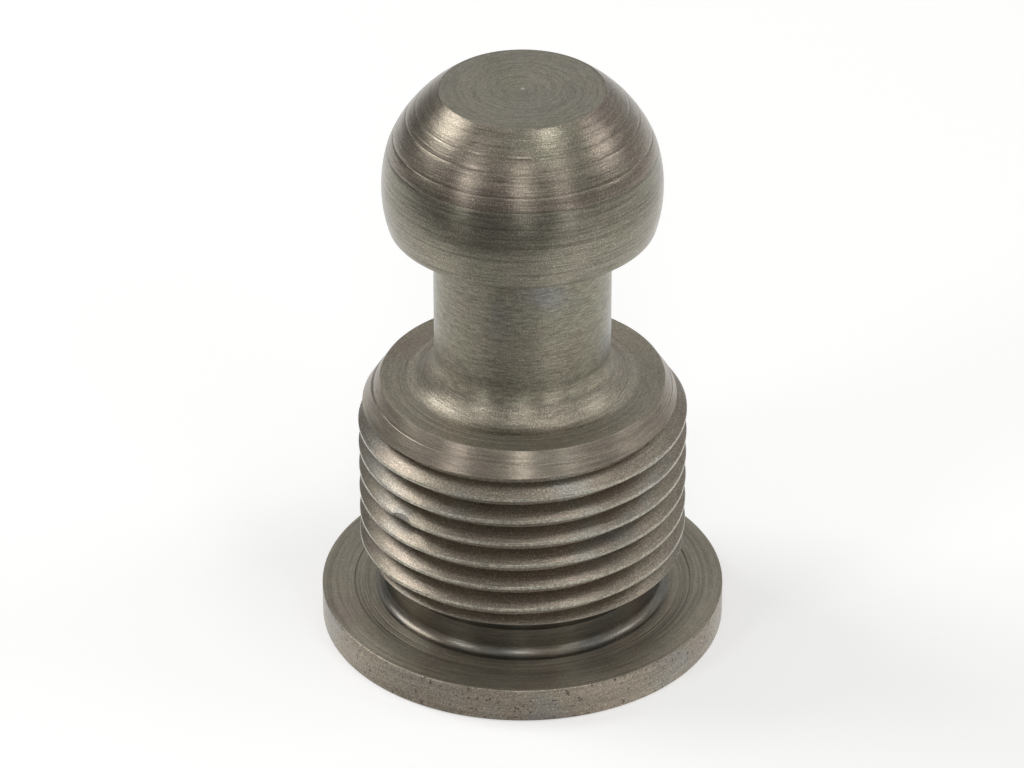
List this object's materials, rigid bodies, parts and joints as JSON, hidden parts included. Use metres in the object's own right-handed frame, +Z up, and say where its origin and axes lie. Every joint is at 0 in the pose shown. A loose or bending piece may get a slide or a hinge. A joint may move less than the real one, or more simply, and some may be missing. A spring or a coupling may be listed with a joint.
{
  "type": "pivot stud",
  "caption": "Turned steel pivot stud: ball head with a flat on top, plain neck, bevelled shoulder, fine right-hand thread and a thin round flange with a flat underside.",
  "frame": {"origin": "centre of the flange's underside", "axes": "+Z up the stud's axis, from the flange to the ball; -Y is the front of the picture"},
  "size_m": [0.0237, 0.0236, 0.0349],
  "materials": {
    "steel": "plain oiled steel, satin, with turning marks"
  },
  "bodies": {
    "root": {"pivot_stud": "steel"}
  },
  "joints": []
}
